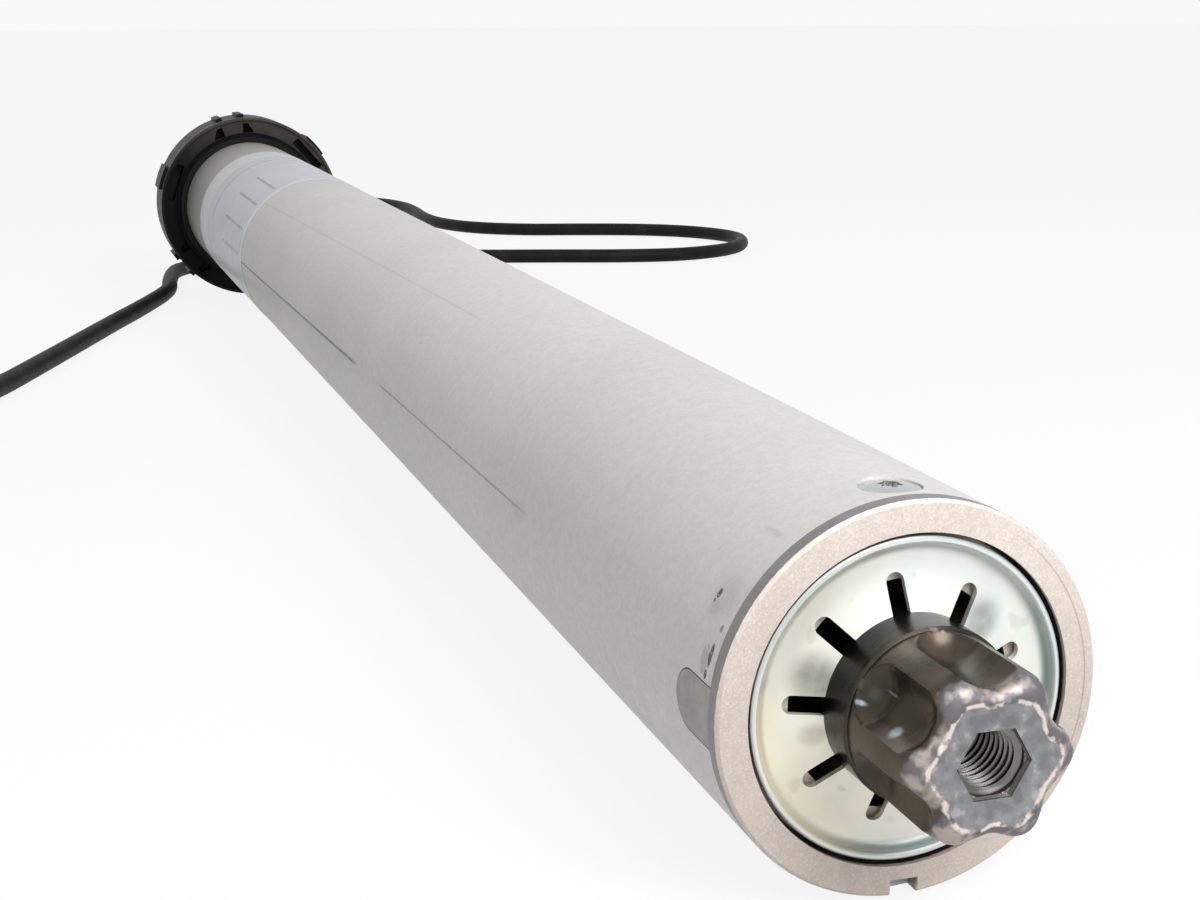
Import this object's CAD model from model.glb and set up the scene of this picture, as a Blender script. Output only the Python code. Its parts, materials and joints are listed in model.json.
"""Dressed scene of a tubular roller blind motor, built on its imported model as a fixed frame."""

from __future__ import annotations

import json
import logging
import math
from dataclasses import dataclass, field
from enum import Enum
from typing import Callable, Iterable, Sequence, Union

import bmesh
import bpy
from mathutils import Matrix, Vector, noise

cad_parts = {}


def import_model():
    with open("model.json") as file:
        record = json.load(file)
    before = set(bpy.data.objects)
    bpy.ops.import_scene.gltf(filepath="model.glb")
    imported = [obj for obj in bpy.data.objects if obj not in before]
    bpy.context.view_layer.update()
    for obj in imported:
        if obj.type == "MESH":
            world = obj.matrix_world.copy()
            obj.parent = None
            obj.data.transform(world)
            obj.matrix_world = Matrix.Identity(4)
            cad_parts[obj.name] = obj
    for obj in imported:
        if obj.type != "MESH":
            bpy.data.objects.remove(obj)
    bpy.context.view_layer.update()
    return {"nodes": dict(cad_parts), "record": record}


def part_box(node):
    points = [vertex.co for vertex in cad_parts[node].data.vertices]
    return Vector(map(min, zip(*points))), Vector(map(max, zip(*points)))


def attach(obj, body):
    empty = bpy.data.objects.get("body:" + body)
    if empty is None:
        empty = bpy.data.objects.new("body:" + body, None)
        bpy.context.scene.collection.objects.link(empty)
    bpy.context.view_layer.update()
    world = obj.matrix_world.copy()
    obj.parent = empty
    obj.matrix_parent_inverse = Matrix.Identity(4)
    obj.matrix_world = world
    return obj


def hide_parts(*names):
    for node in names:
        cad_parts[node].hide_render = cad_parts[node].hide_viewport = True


LOG = logging.getLogger("blind_motor")
MM = 0.001
Colour = tuple[float, float, float, float]
Feed = Union[bpy.types.NodeSocket, float, Sequence[float]]


def tone(red: int, green: int, blue: int) -> Colour:
    """Turns a colour as a screen shows it into the linear colour that a shader takes.

    Args:
        red: Red from 0 to 255.
        green: Green from 0 to 255.
        blue: Blue from 0 to 255.

    Returns:
        Linear red, green, blue and an alpha of 1.
    """
    parts = [value / 255.0 for value in (red, green, blue)]
    linear = [v / 12.92 if v <= 0.04045 else ((v + 0.055) / 1.055) ** 2.4 for v in parts]
    return (linear[0], linear[1], linear[2], 1.0)


class Graph:
    """Short calls for the nodes that effects and finishes are wired from."""

    def __init__(self, tree: bpy.types.NodeTree) -> None:
        """Keeps the node tree that the calls add to."""
        self.tree = tree

    def add(self, kind: str, **settings: object) -> bpy.types.Node:
        """Adds a node.

        Args:
            kind: Blender's name of the node's type.
            **settings: Properties set on the node.

        Returns:
            The new node.
        """
        node = self.tree.nodes.new(kind)
        for key, value in settings.items():
            setattr(node, key, value)
        return node

    def feed(self, socket: bpy.types.NodeSocket, value: Feed) -> None:
        """Links a socket to another one, or sets its own value.

        Args:
            socket: The socket that is fed.
            value: What it takes.
        """
        if isinstance(value, bpy.types.NodeSocket):
            self.tree.links.new(value, socket)
        else:
            socket.default_value = value

    def math(self, operation: str, *values: Feed) -> bpy.types.NodeSocket:
        """Adds a Math node.

        Args:
            operation: The node's operation.
            *values: What its inputs take, in order.

        Returns:
            Its output.
        """
        node = self.add("ShaderNodeMath", operation=operation)
        for socket, value in zip(node.inputs, values):
            self.feed(socket, value)
        return node.outputs[0]

    def both(self, *masks: Feed) -> bpy.types.NodeSocket:
        """Multiplies masks, so that the result is where all of them are.

        Args:
            *masks: Two masks or more.

        Returns:
            The common mask.
        """
        result = masks[0]
        for mask in masks[1:]:
            result = self.math("MULTIPLY", result, mask)
        return result

    def either(self, *masks: Feed) -> bpy.types.NodeSocket:
        """Takes the strongest of some masks at each point.

        Args:
            *masks: Two masks or more.

        Returns:
            The joined mask.
        """
        result = masks[0]
        for mask in masks[1:]:
            result = self.math("MAXIMUM", result, mask)
        return result

    def outside(self, mask: Feed) -> bpy.types.NodeSocket:
        """Turns a mask round."""
        return self.math("SUBTRACT", 1.0, mask)

    def paint(self, mask: Feed, under: Feed, over: Feed) -> bpy.types.NodeSocket:
        """Lays one colour over another.

        Args:
            mask: How much of the upper colour shows.
            under: The lower colour.
            over: The upper colour.

        Returns:
            The mixed colour.
        """
        node = self.add("ShaderNodeMix", data_type="RGBA")
        for index, value in ((0, mask), (6, under), (7, over)):
            self.feed(node.inputs[index], value)
        return node.outputs[2]

    def level(self, mask: Feed, low: Feed, high: Feed) -> bpy.types.NodeSocket:
        """Goes from one number to another with a mask.

        Args:
            mask: 0 for the first number, 1 for the second.
            low: The first number.
            high: The second number.

        Returns:
            The number between.
        """
        node = self.add("ShaderNodeMix", data_type="FLOAT")
        for index, value in ((0, mask), (2, low), (3, high)):
            self.feed(node.inputs[index], value)
        return node.outputs[0]

    def rise(self, value: Feed, low: Feed, high: Feed) -> bpy.types.NodeSocket:
        """Rises smoothly from 0 at low to 1 at high.

        Args:
            value: The number that is judged.
            low: Where the mask starts.
            high: Where it is full.

        Returns:
            The mask.
        """
        node = self.add("ShaderNodeMapRange", interpolation_type="SMOOTHSTEP")
        for label, number in (("Value", value), ("From Min", low), ("From Max", high)):
            self.feed(node.inputs[label], number)
        return node.outputs["Result"]

    def vector(self, x: Feed, y: Feed, z: Feed) -> bpy.types.NodeSocket:
        """Joins three numbers into a vector.

        Args:
            x: The first number.
            y: The second number.
            z: The third number.

        Returns:
            The vector.
        """
        node = self.add("ShaderNodeCombineXYZ")
        for socket, value in zip(node.inputs, (x, y, z)):
            self.feed(socket, value)
        return node.outputs[0]

    def split(self, vector: Feed) -> tuple[bpy.types.NodeSocket, ...]:
        """Splits a vector into its three numbers.

        Args:
            vector: The vector.

        Returns:
            Its three numbers.
        """
        node = self.add("ShaderNodeSeparateXYZ")
        self.feed(node.inputs[0], vector)
        return tuple(node.outputs)

    def noise(self, vector: Feed, scale: Feed, detail: float = 3.0) -> bpy.types.NodeSocket:
        """Adds soft noise about a middle of a half.

        Args:
            vector: Where it is read.
            scale: Waves in a metre.
            detail: Octaves of finer waves.

        Returns:
            The noise from 0 to 1.
        """
        node = self.add("ShaderNodeTexNoise")
        for label, value in (("Vector", vector), ("Scale", scale), ("Detail", detail)):
            self.feed(node.inputs[label], value)
        return node.outputs["Fac"]

    def use(self, group: bpy.types.NodeTree, **values: Feed) -> bpy.types.Node:
        """Places a shared effect.

        Args:
            group: The effect's node group.
            **values: What its inputs take, by name.

        Returns:
            The group's node.
        """
        node = self.add("ShaderNodeGroup", node_tree=group)
        for label, value in values.items():
            self.feed(node.inputs[label], value)
        return node

    def mask(self, group: bpy.types.NodeTree, **values: Feed) -> bpy.types.NodeSocket:
        """Places a shared effect that gives one mask, and returns the mask."""
        return self.use(group, **values).outputs["Mask"]


class Effects:
    """Shader node groups that several finishes share, each built once."""

    def __init__(self) -> None:
        """Builds every group."""
        self.axis = self._axis()
        self.span = self._span()
        self.grain = self._grain()
        self.patches = self._patches()
        self.streaks = self._streaks()
        self.flecks = self._flecks()
        self.turned = self._turned()
        self.spot = self._spot()

    @staticmethod
    def _start(
        name: str, inputs: dict[str, float], outputs: Sequence[str]
    ) -> tuple[Graph, bpy.types.Node, bpy.types.Node]:
        """Starts a group with a Place vector, number inputs and number outputs.

        Args:
            name: The group's name.
            inputs: Its number inputs with their usual values. A name of Place is a vector.
            outputs: Its number outputs.

        Returns:
            The graph, its input node and its output node.
        """
        tree = bpy.data.node_groups.new(name, "ShaderNodeTree")
        for label, value in inputs.items():
            kind = "NodeSocketVector" if label == "Place" else "NodeSocketFloat"
            socket = tree.interface.new_socket(label, in_out="INPUT", socket_type=kind)
            if kind == "NodeSocketFloat":
                socket.default_value = value
        for label in outputs:
            tree.interface.new_socket(label, in_out="OUTPUT", socket_type="NodeSocketFloat")
        graph = Graph(tree)
        return graph, graph.add("NodeGroupInput"), graph.add("NodeGroupOutput")

    def _axis(self) -> bpy.types.NodeTree:
        """Builds the place along, away from and round the motor's axis.

        Returns:
            The group, which puts out Along, Radius and Turn.
        """
        g, i, o = self._start("motor_axis", {"Place": 0.0}, ("Along", "Radius", "Turn"))
        x, y, z = g.split(i.outputs["Place"])
        g.feed(o.inputs["Along"], x)
        square = g.math("ADD", g.math("MULTIPLY", y, y), g.math("MULTIPLY", z, z))
        g.feed(o.inputs["Radius"], g.math("SQRT", square))
        g.feed(o.inputs["Turn"], g.math("ARCTAN2", y, z))
        return g.tree

    def _span(self) -> bpy.types.NodeTree:
        """Builds a mask that is full between two values.

        Returns:
            The group, which puts out Mask.
        """
        g, i, o = self._start(
            "span", {"Value": 0.0, "Low": 0.0, "High": 1.0, "Soft": 0.0005}, ("Mask",)
        )
        value, low, high, soft = (i.outputs[n] for n in ("Value", "Low", "High", "Soft"))
        first = g.rise(value, g.math("SUBTRACT", low, soft), g.math("ADD", low, soft))
        last = g.rise(value, g.math("SUBTRACT", high, soft), g.math("ADD", high, soft))
        g.feed(o.inputs["Mask"], g.both(first, g.outside(last)))
        return g.tree

    def _grain(self) -> bpy.types.NodeTree:
        """Builds fine grain: a tone from 0 to 1 and a height for bump.

        Returns:
            The group, which puts out Tone and Height.
        """
        g, i, o = self._start("fine_grain", {"Place": 0.0, "Scale": 900.0}, ("Tone", "Height"))
        place, scale = i.outputs["Place"], i.outputs["Scale"]
        fine = g.noise(place, scale, 2.0)
        coarse = g.noise(place, g.math("MULTIPLY", scale, 0.31), 2.0)
        mixed = g.math("ADD", g.math("MULTIPLY", fine, 0.6), g.math("MULTIPLY", coarse, 0.4))
        g.feed(o.inputs["Tone"], g.rise(mixed, 0.33, 0.67))
        g.feed(o.inputs["Height"], mixed)
        return g.tree

    def _patches(self) -> bpy.types.NodeTree:
        """Builds cloudy patches with ragged edges.

        Returns:
            The group, which puts out Mask.
        """
        g, i, o = self._start(
            "patches", {"Place": 0.0, "Scale": 40.0, "Cover": 0.5, "Soft": 0.08}, ("Mask",)
        )
        cloud = g.noise(i.outputs["Place"], i.outputs["Scale"], 5.0)
        edge = g.math("SUBTRACT", 0.75, g.math("MULTIPLY", i.outputs["Cover"], 0.5))
        soft = i.outputs["Soft"]
        mask = g.rise(cloud, g.math("SUBTRACT", edge, soft), g.math("ADD", edge, soft))
        g.feed(o.inputs["Mask"], mask)
        return g.tree

    def _streaks(self) -> bpy.types.NodeTree:
        """Builds thin marks that run one way.

        Returns:
            The group, which puts out Mask.
        """
        g, i, o = self._start(
            "streaks", {"Place": 0.0, "Along": 20.0, "Across": 900.0, "Cover": 0.3}, ("Mask",)
        )
        x, y, z = g.split(i.outputs["Place"])
        across = i.outputs["Across"]
        place = g.vector(
            g.math("MULTIPLY", x, i.outputs["Along"]),
            g.math("MULTIPLY", y, across),
            g.math("MULTIPLY", z, across),
        )
        edge = g.math("SUBTRACT", 0.75, g.math("MULTIPLY", i.outputs["Cover"], 0.5))
        lines = g.noise(place, 1.0, 2.0)
        g.feed(o.inputs["Mask"], g.rise(lines, edge, g.math("ADD", edge, 0.07)))
        return g.tree

    def _flecks(self) -> bpy.types.NodeTree:
        """Builds small separate specks.

        Returns:
            The group, which puts out Mask.
        """
        g, i, o = self._start("flecks", {"Place": 0.0, "Scale": 500.0, "Size": 0.25}, ("Mask",))
        cells = g.add("ShaderNodeTexVoronoi")
        g.feed(cells.inputs["Vector"], i.outputs["Place"])
        g.feed(cells.inputs["Scale"], i.outputs["Scale"])
        chance = g.split(cells.outputs["Color"])[0]
        reach = g.math("MULTIPLY", i.outputs["Size"], chance)
        soft = g.math("MULTIPLY", reach, 0.6)
        mask = g.outside(g.rise(cells.outputs["Distance"], soft, reach))
        g.feed(o.inputs["Mask"], g.both(mask, g.rise(chance, 0.45, 0.55)))
        return g.tree

    def _turned(self) -> bpy.types.NodeTree:
        """Builds the fine rings that a lathe tool leaves.

        Returns:
            The group, which puts out Tone and Height.
        """
        g, i, o = self._start(
            "turned_rings", {"Along": 0.0, "Radius": 0.0, "Scale": 4000.0}, ("Tone", "Height")
        )
        rings = g.noise(g.vector(i.outputs["Along"], i.outputs["Radius"], 0.0), i.outputs["Scale"])
        g.feed(o.inputs["Tone"], g.rise(rings, 0.35, 0.65))
        g.feed(o.inputs["Height"], rings)
        return g.tree

    def _spot(self) -> bpy.types.NodeTree:
        """Builds one soft oval mark on a round surface.

        Returns:
            The group, which puts out Mask.
        """
        g, i, o = self._start(
            "oval_mark",
            {"Along": 0.0, "Turn": 0.0, "At": 0.0, "Angle": 0.0, "Length": 0.01, "Width": 0.1},
            ("Mask",),
        )
        out = i.outputs
        u = g.math("DIVIDE", g.math("SUBTRACT", out["Along"], out["At"]), out["Length"])
        v = g.math("DIVIDE", g.math("SUBTRACT", out["Turn"], out["Angle"]), out["Width"])
        square = g.math("ADD", g.math("MULTIPLY", u, u), g.math("MULTIPLY", v, v))
        g.feed(o.inputs["Mask"], g.outside(g.rise(g.math("SQRT", square), 0.25, 1.0)))
        return g.tree


@dataclass(frozen=True)
class Rub:
    """A small mark: its place along or away from the axis, its turn, size and strength."""

    along: float
    turn: float
    length: float
    width: float
    strength: float
    torn: bool = True


@dataclass
class Coat:
    """One material under way: its graph, its shader and the places that its nodes read."""

    material: bpy.types.Material
    graph: Graph
    shader: bpy.types.Node
    place: bpy.types.NodeSocket
    along: bpy.types.NodeSocket
    radius: bpy.types.NodeSocket
    turn: bpy.types.NodeSocket

    def bump(self, height: Feed, strength: float, distance: float = 0.0002) -> None:
        """Feeds a height to the shader's normal.

        Args:
            height: The height from 0 to 1.
            strength: How strongly it shows.
            distance: What a height of 1 stands for, in metres.
        """
        node = self.graph.add("ShaderNodeBump")
        node.inputs["Strength"].default_value = strength
        node.inputs["Distance"].default_value = distance
        self.graph.feed(node.inputs["Height"], height)
        self.graph.feed(self.shader.inputs["Normal"], node.outputs["Normal"])

    def set(self, **values: Feed) -> None:
        """Feeds shader inputs, with a low line for each space in a name."""
        for label, value in values.items():
            self.graph.feed(self.shader.inputs[label.replace("_", " ")], value)

    def oval(self, effects: Effects, rub: Rub, along: Feed) -> bpy.types.NodeSocket:
        """Masks one soft oval mark.

        Args:
            effects: The shared node groups.
            rub: The mark's place and size.
            along: What its first measure runs along, the axis or the radius.

        Returns:
            The mask.
        """
        return self.graph.mask(
            effects.spot,
            Along=along,
            Turn=self.turn,
            At=rub.along,
            Angle=math.radians(rub.turn),
            Length=rub.length,
            Width=math.radians(rub.width),
        )


@dataclass(frozen=True)
class Finish:
    """A surface finish that makes one material."""

    name: str

    def start(self, effects: Effects) -> Coat:
        """Opens a material with a Principled shader and the axis places.

        Args:
            effects: The shared node groups.

        Returns:
            The material under way.
        """
        material = bpy.data.materials.new(self.name)
        material.use_nodes = True
        graph = Graph(material.node_tree)
        shader = material.node_tree.nodes["Principled BSDF"]
        place = graph.add("ShaderNodeTexCoord").outputs["Object"]
        axis = graph.use(effects.axis, Place=place).outputs
        return Coat(material, graph, shader, place, axis["Along"], axis["Radius"], axis["Turn"])

    def make(self, effects: Effects) -> bpy.types.Material:
        """Makes the material.

        Args:
            effects: The shared node groups.

        Returns:
            The finished material.
        """
        raise NotImplementedError


@dataclass(frozen=True)
class MouldedPlastic(Finish):
    """Moulded plastic or rubber: fine texture, faint cloudiness and rubbed spots."""

    colour: Colour
    rubbed: Colour
    roughness: float = 0.5
    texture: float = 1400.0
    depth: float = 0.12
    gloss: float = 0.5

    def make(self, effects: Effects) -> bpy.types.Material:
        """Makes the plastic from grain, clouds and rubbed patches.

        Args:
            effects: The shared node groups.

        Returns:
            The finished material.
        """
        c = self.start(effects)
        g = c.graph
        c.set(Specular_IOR_Level=self.gloss)
        grain = g.use(effects.grain, Place=c.place, Scale=self.texture).outputs
        rub = g.mask(effects.patches, Place=c.place, Scale=55.0, Cover=0.42, Soft=0.16)
        worn = g.both(rub, g.level(grain["Tone"], 0.25, 0.6))
        c.set(Base_Color=g.paint(worn, self.colour, self.rubbed))
        c.set(Roughness=g.level(grain["Tone"], self.roughness - 0.06, self.roughness + 0.08))
        c.bump(grain["Height"], self.depth)
        return c.material


@dataclass(frozen=True)
class DustyPlastic(Finish):
    """Black moulded plastic with brownish dust on the upper side of its end face."""

    colour: Colour = tone(13, 13, 14)
    dust: Colour = tone(86, 79, 74)
    lean: float = 0.5
    settle: tuple[float, float] = (-0.004, 0.036)
    face_at: float = 0.0329
    face_edge: float = 0.0004

    def make(self, effects: Effects) -> bpy.types.Material:
        """Makes the plastic, then lets the dust settle on it.

        Args:
            effects: The shared node groups.

        Returns:
            The finished material.
        """
        c = self.start(effects)
        g = c.graph
        c.set(Specular_IOR_Level=0.16)
        grain = g.use(effects.grain, Place=c.place, Scale=1400.0).outputs
        across, up = g.split(c.place)[1:]
        high = g.rise(g.math("ADD", up, g.math("MULTIPLY", across, self.lean)), *self.settle)
        front = g.rise(c.along, self.face_at - self.face_edge, self.face_at)
        cloud = g.level(g.noise(c.place, 120.0, 4.0), 0.55, 1.2)
        settled = g.both(high, front, cloud, g.level(grain["Tone"], 0.75, 1.0))
        c.set(Base_Color=g.paint(settled, self.colour, self.dust))
        c.set(Roughness=g.level(grain["Tone"], 0.42, 0.56))
        c.bump(grain["Height"], 0.12)
        return c.material


@dataclass(frozen=True)
class WorkedMetal(Finish):
    """Turned, ground or plated metal with fine rings and cloudy stains."""

    colour: Colour
    stain: Colour
    roughness: float = 0.3
    metallic: float = 1.0
    rings: float = 3500.0
    cover: float = 0.4
    depth: float = 0.05

    def make(self, effects: Effects) -> bpy.types.Material:
        """Makes the metal from lathe rings and stains.

        Args:
            effects: The shared node groups.

        Returns:
            The finished material.
        """
        c = self.start(effects)
        g = c.graph
        c.set(Metallic=self.metallic)
        turned = g.use(effects.turned, Along=c.along, Radius=c.radius, Scale=self.rings).outputs
        cloud = g.mask(effects.patches, Place=c.place, Scale=70.0, Cover=self.cover, Soft=0.14)
        c.set(Base_Color=g.paint(g.both(cloud, 0.7), self.colour, self.stain))
        c.set(Roughness=g.level(turned["Tone"], self.roughness - 0.07, self.roughness + 0.1))
        c.bump(turned["Height"], self.depth)
        return c.material


@dataclass(frozen=True)
class SheetStack(Finish):
    """Edges of thin sheets in a stack, with rust-brown varnish between them."""

    colour: Colour
    between: Colour
    pitch: float = 0.0008

    def make(self, effects: Effects) -> bpy.types.Material:
        """Makes the stack from thin bands along the axis.

        Args:
            effects: The shared node groups.

        Returns:
            The finished material.
        """
        c = self.start(effects)
        g = c.graph
        c.set(Metallic=0.8)
        wave = g.math("SINE", g.math("MULTIPLY", c.along, math.tau / self.pitch))
        gap = g.rise(wave, 0.55, 0.95)
        stain = g.mask(effects.patches, Place=c.place, Scale=60.0, Cover=0.45)
        c.set(Base_Color=g.paint(g.either(gap, g.both(stain, 0.4)), self.colour, self.between))
        c.set(Roughness=g.level(gap, 0.38, 0.62))
        c.bump(g.outside(gap), 0.35)
        return c.material


@dataclass(frozen=True)
class WoundWire(Finish):
    """Enamelled wire laid side by side round the motor's axis."""

    colour: Colour
    shade: Colour
    pitch: float = 0.0011

    def make(self, effects: Effects) -> bpy.types.Material:
        """Makes the winding from round strands and varnish.

        Args:
            effects: The shared node groups.

        Returns:
            The finished material.
        """
        c = self.start(effects)
        g = c.graph
        c.set(Metallic=0.85)
        strand = g.math("SINE", g.math("MULTIPLY", c.radius, math.tau / self.pitch))
        varnish = g.mask(effects.patches, Place=c.place, Scale=120.0, Cover=0.4)
        colour = g.paint(g.rise(strand, -0.9, 0.4), self.shade, self.colour)
        c.set(Base_Color=g.paint(g.both(varnish, 0.5), colour, self.shade))
        c.set(Roughness=g.level(varnish, 0.26, 0.42))
        c.bump(strand, 0.5, 0.0003)
        return c.material


@dataclass(frozen=True)
class Seam:
    """A thin line along the tube: its place at a start, its twist and its reach."""

    start: float
    stop: float
    origin: float
    turn: float
    twist: float
    width: float
    strength: float


@dataclass(frozen=True)
class TubePaint(Finish):
    """Pale paint on the steel tube, with its seam, its scuffs and a bare band."""

    paint: Colour = tone(228, 226, 223)
    cloud: Colour = tone(221, 219, 216)
    bare: Colour = tone(128, 131, 125)
    bare_top: Colour = tone(176, 172, 166)
    line: Colour = tone(92, 95, 98)
    scuff: Colour = tone(74, 62, 58)
    bare_end: float = 0.0905
    bare_fade: float = 0.0022
    top_from: tuple[float, float] = (0.004, 0.030)
    tube_r: float = 0.03
    seams: tuple[Seam, ...] = (
        Seam(0.100, 0.446, 0.2470, -89.4, 23.7, 0.00055, 0.85),
        Seam(0.478, 0.606, 0.2470, -89.4, 23.7, 0.00032, 0.55),
        Seam(0.226, 0.520, 0.2296, -42.9, 45.6, 0.00040, 0.13),
    )
    rubs: tuple[Rub, ...] = (
        Rub(0.6956, -58.2, 0.0007, 1.9, 1.0),
        Rub(0.6952, -60.6, 0.0004, 0.8, 0.8),
        Rub(0.6975, -57.0, 0.0055, 9.0, 0.16, False),
        Rub(0.6960, -62.5, 0.0022, 4.0, 0.14, False),
        Rub(0.7010, -65.6, 0.0006, 1.4, 0.6),
        Rub(0.7006, -73.4, 0.0007, 4.4, 1.0),
        Rub(0.6990, -75.5, 0.0016, 5.5, 0.3),
        Rub(0.7003, -79.0, 0.0006, 1.7, 1.0),
        Rub(0.6965, -36.0, 0.0050, 1.6, 0.14, False),
        Rub(0.6050, -81.0, 0.0070, 5.0, 0.10, False),
    )

    def make(self, effects: Effects) -> bpy.types.Material:
        """Makes the paint, then lays the marks over it.

        Args:
            effects: The shared node groups.

        Returns:
            The finished material.
        """
        c = self.start(effects)
        g = c.graph
        grain = g.use(effects.grain, Place=c.place, Scale=1500.0).outputs
        clouds = g.noise(c.place, 14.0, 4.0)
        colour = g.paint(g.rise(clouds, 0.35, 0.65), self.paint, self.cloud)
        colour = g.paint(g.both(grain["Tone"], 0.12), colour, self.bare)
        bare = g.mask(
            effects.span, Value=c.along, Low=-1.0, High=self.bare_end, Soft=self.bare_fade
        )
        metal = g.paint(g.rise(g.split(c.place)[2], *self.top_from), self.bare, self.bare_top)
        colour = g.paint(bare, colour, metal)
        for seam in self.seams:
            colour = g.paint(self._line(effects, c, seam), colour, self.line)
        for rub in self.rubs:
            colour = g.paint(self._rub(effects, c, rub), colour, self.scuff)
        c.set(Base_Color=colour)
        c.set(Roughness=g.level(grain["Tone"], 0.40, 0.52))
        c.bump(grain["Height"], 0.10)
        return c.material

    def _line(self, effects: Effects, c: Coat, seam: Seam) -> bpy.types.NodeSocket:
        """Masks one thin line.

        Args:
            effects: The shared node groups.
            c: The material under way.
            seam: The line.

        Returns:
            The mask.
        """
        g = c.graph
        past = g.math("SUBTRACT", c.along, seam.origin)
        away = g.math("MULTIPLY", past, math.radians(seam.twist))
        centre = g.math("ADD", away, math.radians(seam.turn))
        turned = g.math("ABSOLUTE", g.math("SUBTRACT", c.turn, centre))
        miss = g.math("MULTIPLY", turned, self.tube_r)
        thin = g.outside(g.rise(miss, seam.width * 0.4, seam.width * 1.1))
        reach = g.mask(effects.span, Value=c.along, Low=seam.start, High=seam.stop, Soft=0.006)
        broken = g.level(g.noise(c.place, 260.0), 0.75, 1.15)
        return g.both(thin, reach, broken, seam.strength)

    def _rub(self, effects: Effects, c: Coat, rub: Rub) -> bpy.types.NodeSocket:
        """Masks one scuff.

        Args:
            effects: The shared node groups.
            c: The material under way.
            rub: The scuff.

        Returns:
            The mask.
        """
        g = c.graph
        spot = c.oval(effects, rub, c.along)
        if not rub.torn:
            return g.both(spot, rub.strength)
        ragged = g.rise(g.noise(c.place, 1300.0, 4.0), 0.3, 0.45)
        return g.both(g.rise(spot, 0.05, 0.4), ragged, rub.strength)


@dataclass(frozen=True)
class LabelFoil(Finish):
    """Thin pale foil round the tube, with a rim, one ruled ring and four ruled bars."""

    colour: Colour = tone(204, 209, 219)
    cloud: Colour = tone(212, 213, 216)
    rim: Colour = tone(226, 227, 228)
    ink: Colour = tone(120, 124, 140)
    printed: tuple[float, float] = (0.118, 0.220)
    ring: tuple[float, float] = (0.1335, 0.1348)
    ring_turn: tuple[float, float] = (-76.0, -8.0)
    bar: tuple[float, float] = (0.168, 0.215)
    bar_turns: tuple[float, ...] = (-30.0, -47.5, -68.0, -86.0)
    bar_half: float = 0.9

    def make(self, effects: Effects) -> bpy.types.Material:
        """Makes the foil and rules its lines.

        Args:
            effects: The shared node groups.

        Returns:
            The finished material.
        """
        c = self.start(effects)
        g = c.graph
        cloud = g.rise(g.noise(c.place, 160.0, 4.0), 0.35, 0.7)
        colour = g.paint(g.both(cloud, 0.5), self.colour, self.cloud)
        low, high = self.printed
        inner = g.mask(effects.span, Value=c.along, Low=low, High=high, Soft=0.0012)
        colour = g.paint(inner, self.rim, colour)
        marks = [self._ruled(effects, c, self.ring, self.ring_turn)]
        for turn in self.bar_turns:
            edges = (turn - self.bar_half, turn + self.bar_half)
            marks.append(self._ruled(effects, c, self.bar, edges))
        faded = g.level(g.noise(c.place, 300.0), 0.55, 1.0)
        c.set(Base_Color=g.paint(g.both(g.either(*marks), faded), colour, self.ink))
        c.set(Roughness=g.level(cloud, 0.32, 0.45))
        c.bump(g.noise(c.place, 900.0), 0.04)
        return c.material

    def _ruled(
        self, effects: Effects, c: Coat, along: tuple[float, float], turn: tuple[float, float]
    ) -> bpy.types.NodeSocket:
        """Masks one ruled mark.

        Args:
            effects: The shared node groups.
            c: The material under way.
            along: Its start and end along the tube, in metres.
            turn: Its start and end round the tube, in degrees.

        Returns:
            The mask.
        """
        g = c.graph
        across = g.mask(effects.span, Value=c.along, Low=along[0], High=along[1], Soft=0.0004)
        low, high = (math.radians(value) for value in turn)
        return g.both(across, g.mask(effects.span, Value=c.turn, Low=low, High=high, Soft=0.012))


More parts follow.
